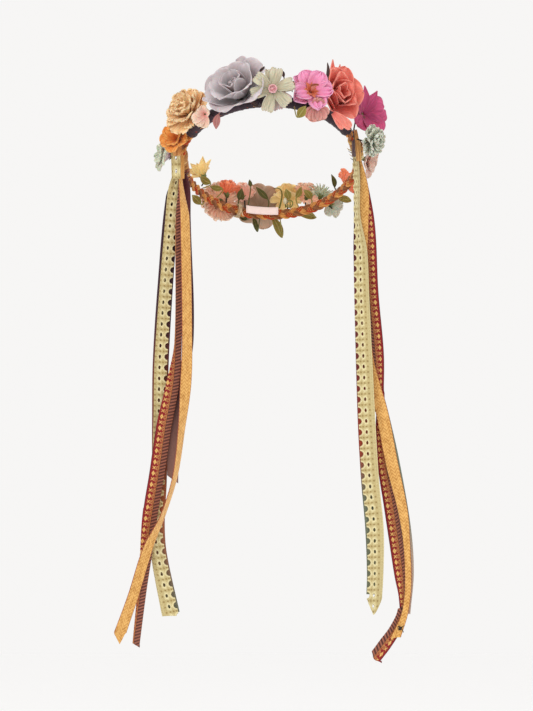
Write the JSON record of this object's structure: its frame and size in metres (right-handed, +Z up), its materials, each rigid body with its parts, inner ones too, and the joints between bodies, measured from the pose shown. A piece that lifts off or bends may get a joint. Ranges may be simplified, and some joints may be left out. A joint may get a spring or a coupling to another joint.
{
  "type": "flower crown",
  "caption": "Braided head wreath with fabric blossoms wired round its outside and long ribbons and lace that hang from a tie at each side.",
  "frame": {"origin": "centre of the head opening, on the braid's centre plane", "axes": "+Z up and along the hanging ribbons, -Y the wearer's front, +X to the right seen from the front; the hoop leans 36 degrees, front high"},
  "size_m": [0.3005, 0.2294, 0.6079],
  "materials": {
    "wire": "thin dull wire",
    "jacquard_braid": "rust jacquard trim with gold dots",
    "brown_braid": "brown twill trim",
    "tan_braid": "tan gold trim",
    "floral_tape": "dark stretched paper tape",
    "tie": "tan ribbon wrap",
    "twine": "beige twine",
    "label": "blank satin tape",
    "mint": "soft petals",
    "orange": "soft petals",
    "apricot": "ruffled petals",
    "cream": "soft petals",
    "grey_lavender": "soft petals",
    "greige": "veined petals",
    "pink_beads": "curled threads",
    "azalea_pink": "soft petals",
    "throat_orange": "velvet",
    "dusty_rose": "soft petals",
    "coral": "soft petals",
    "magenta": "veined petals",
    "sage": "ruffled petals",
    "pale_yellow": "soft petals",
    "coral_orange": "soft petals",
    "pale_pink": "soft petals",
    "peach": "soft petals",
    "taupe": "soft petals",
    "calyx": "moulded",
    "stem": "coated wire",
    "dark_leaf": "stiffened leaf",
    "olive_leaf": "stiffened leaf",
    "green_leaf": "stiffened leaf",
    "gold_ribbon": "grosgrain",
    "jacquard": "woven trim with gold scrolls",
    "plum": "satin",
    "lace": "cotton lace",
    "backing": "satin",
    "sage_ribbon": "satin",
    "thread": "dark thread"
  },
  "bodies": {
    "crown": {"apricot_carnation": "apricot", "azalea_throat": "throat_orange", "back_calyxes": "calyx", "back_coral_blossom": "coral", "back_green_leaves": "green_leaf", "back_olive_leaves": "olive_leaf", "back_stem_wires": "stem", "blank_label": "label", "brown_strand": "brown_braid", "coral_orange_blossom": "coral_orange", "coral_rose": "coral", "cosmos": "greige", "cosmos_centre": "pink_beads", "cream_bud": "cream", "cream_pink_blossom": "cream", "cream_seed_buds": "cream", "curled_tendril": "stem", "dusty_pink_blossom": "dusty_rose", "floral_tape": "floral_tape", "front_calyxes": "calyx", "front_leaves": "dark_leaf", "front_stem_wires": "stem", "grey_rose": "grey_lavender", "hoop_wire": "wire", "jacquard_strand": "jacquard_braid", "left_tie": "tie", "magenta_blossom": "magenta", "mint_blossom": "mint", "mint_spike_blossom": "mint", "orange_blossom": "orange", "pale_pink_blossom": "pale_pink", "pale_yellow_blossom": "pale_yellow", "peach_frill_blossom": "peach", "peach_pink_blossom": "peach", "pink_azalea": "azalea_pink", "primrose_blossom": "pale_yellow", "right_tie": "tie", "rose_petal_blossom": "dusty_rose", "sage_carnation": "sage", "sage_petal_blossom": "sage", "tan_strand": "tan_braid", "taupe_rose": "taupe", "twine_tie": "twine", "white_buds": "cream"},
    "left_gold_ribbon": {"left_gold_ribbon": "gold_ribbon"},
    "left_jacquard_ribbon": {"left_jacquard_ribbon": "jacquard"},
    "left_plum_ribbon": {"left_plum_ribbon": "plum"},
    "left_lace": {"left_lace": "lace"},
    "left_backing_ribbon": {"left_backing_ribbon": "backing"},
    "right_lace": {"right_lace": "lace"},
    "right_backing_ribbon": {"right_backing_ribbon": "backing"},
    "right_sage_ribbon": {"right_sage_ribbon": "sage_ribbon"},
    "right_knotted_pair": {"right_gold_ribbon": "gold_ribbon", "right_jacquard_ribbon": "jacquard", "thread_knot": "thread"}
  },
  "joints": [
    {"name": "left_gold_ribbon_swing", "type": "hinge", "parent": "crown", "child": "left_gold_ribbon", "pos_m": [-0.08796, 0.0025, -0.00182], "axis": [0, 1, 0], "range_deg": [-10, 40]},
    {"name": "left_jacquard_ribbon_swing", "type": "hinge", "parent": "crown", "child": "left_jacquard_ribbon", "pos_m": [-0.08775, 0.006, -0.00436], "axis": [0, 1, 0], "range_deg": [-10, 40]},
    {"name": "left_plum_ribbon_swing", "type": "hinge", "parent": "crown", "child": "left_plum_ribbon", "pos_m": [-0.08736, 0.0095, -0.0069], "axis": [0, 1, 0], "range_deg": [-10, 40]},
    {"name": "left_lace_swing", "type": "hinge", "parent": "crown", "child": "left_lace", "pos_m": [-0.0868, 0.013, -0.00945], "axis": [0, 1, 0], "range_deg": [-10, 40]},
    {"name": "left_backing_ribbon_swing", "type": "hinge", "parent": "crown", "child": "left_backing_ribbon", "pos_m": [-0.08607, 0.0165, -0.01199], "axis": [0, 1, 0], "range_deg": [-10, 40]},
    {"name": "right_lace_swing", "type": "hinge", "parent": "crown", "child": "right_lace", "pos_m": [0.08404, -0.0235, 0.01707], "axis": [0, 1, 0], "range_deg": [-40, 10]},
    {"name": "right_backing_ribbon_swing", "type": "hinge", "parent": "crown", "child": "right_backing_ribbon", "pos_m": [0.08515, -0.02, 0.01453], "axis": [0, 1, 0], "range_deg": [-40, 10]},
    {"name": "right_sage_ribbon_swing", "type": "hinge", "parent": "crown", "child": "right_sage_ribbon", "pos_m": [0.08736, -0.0095, 0.0069], "axis": [0, 1, 0], "range_deg": [-40, 10]},
    {"name": "right_knotted_pair_swing", "type": "hinge", "parent": "crown", "child": "right_knotted_pair", "pos_m": [0.08646, -0.01475, 0.01072], "axis": [0, 1, 0], "range_deg": [-40, 10]}
  ]
}
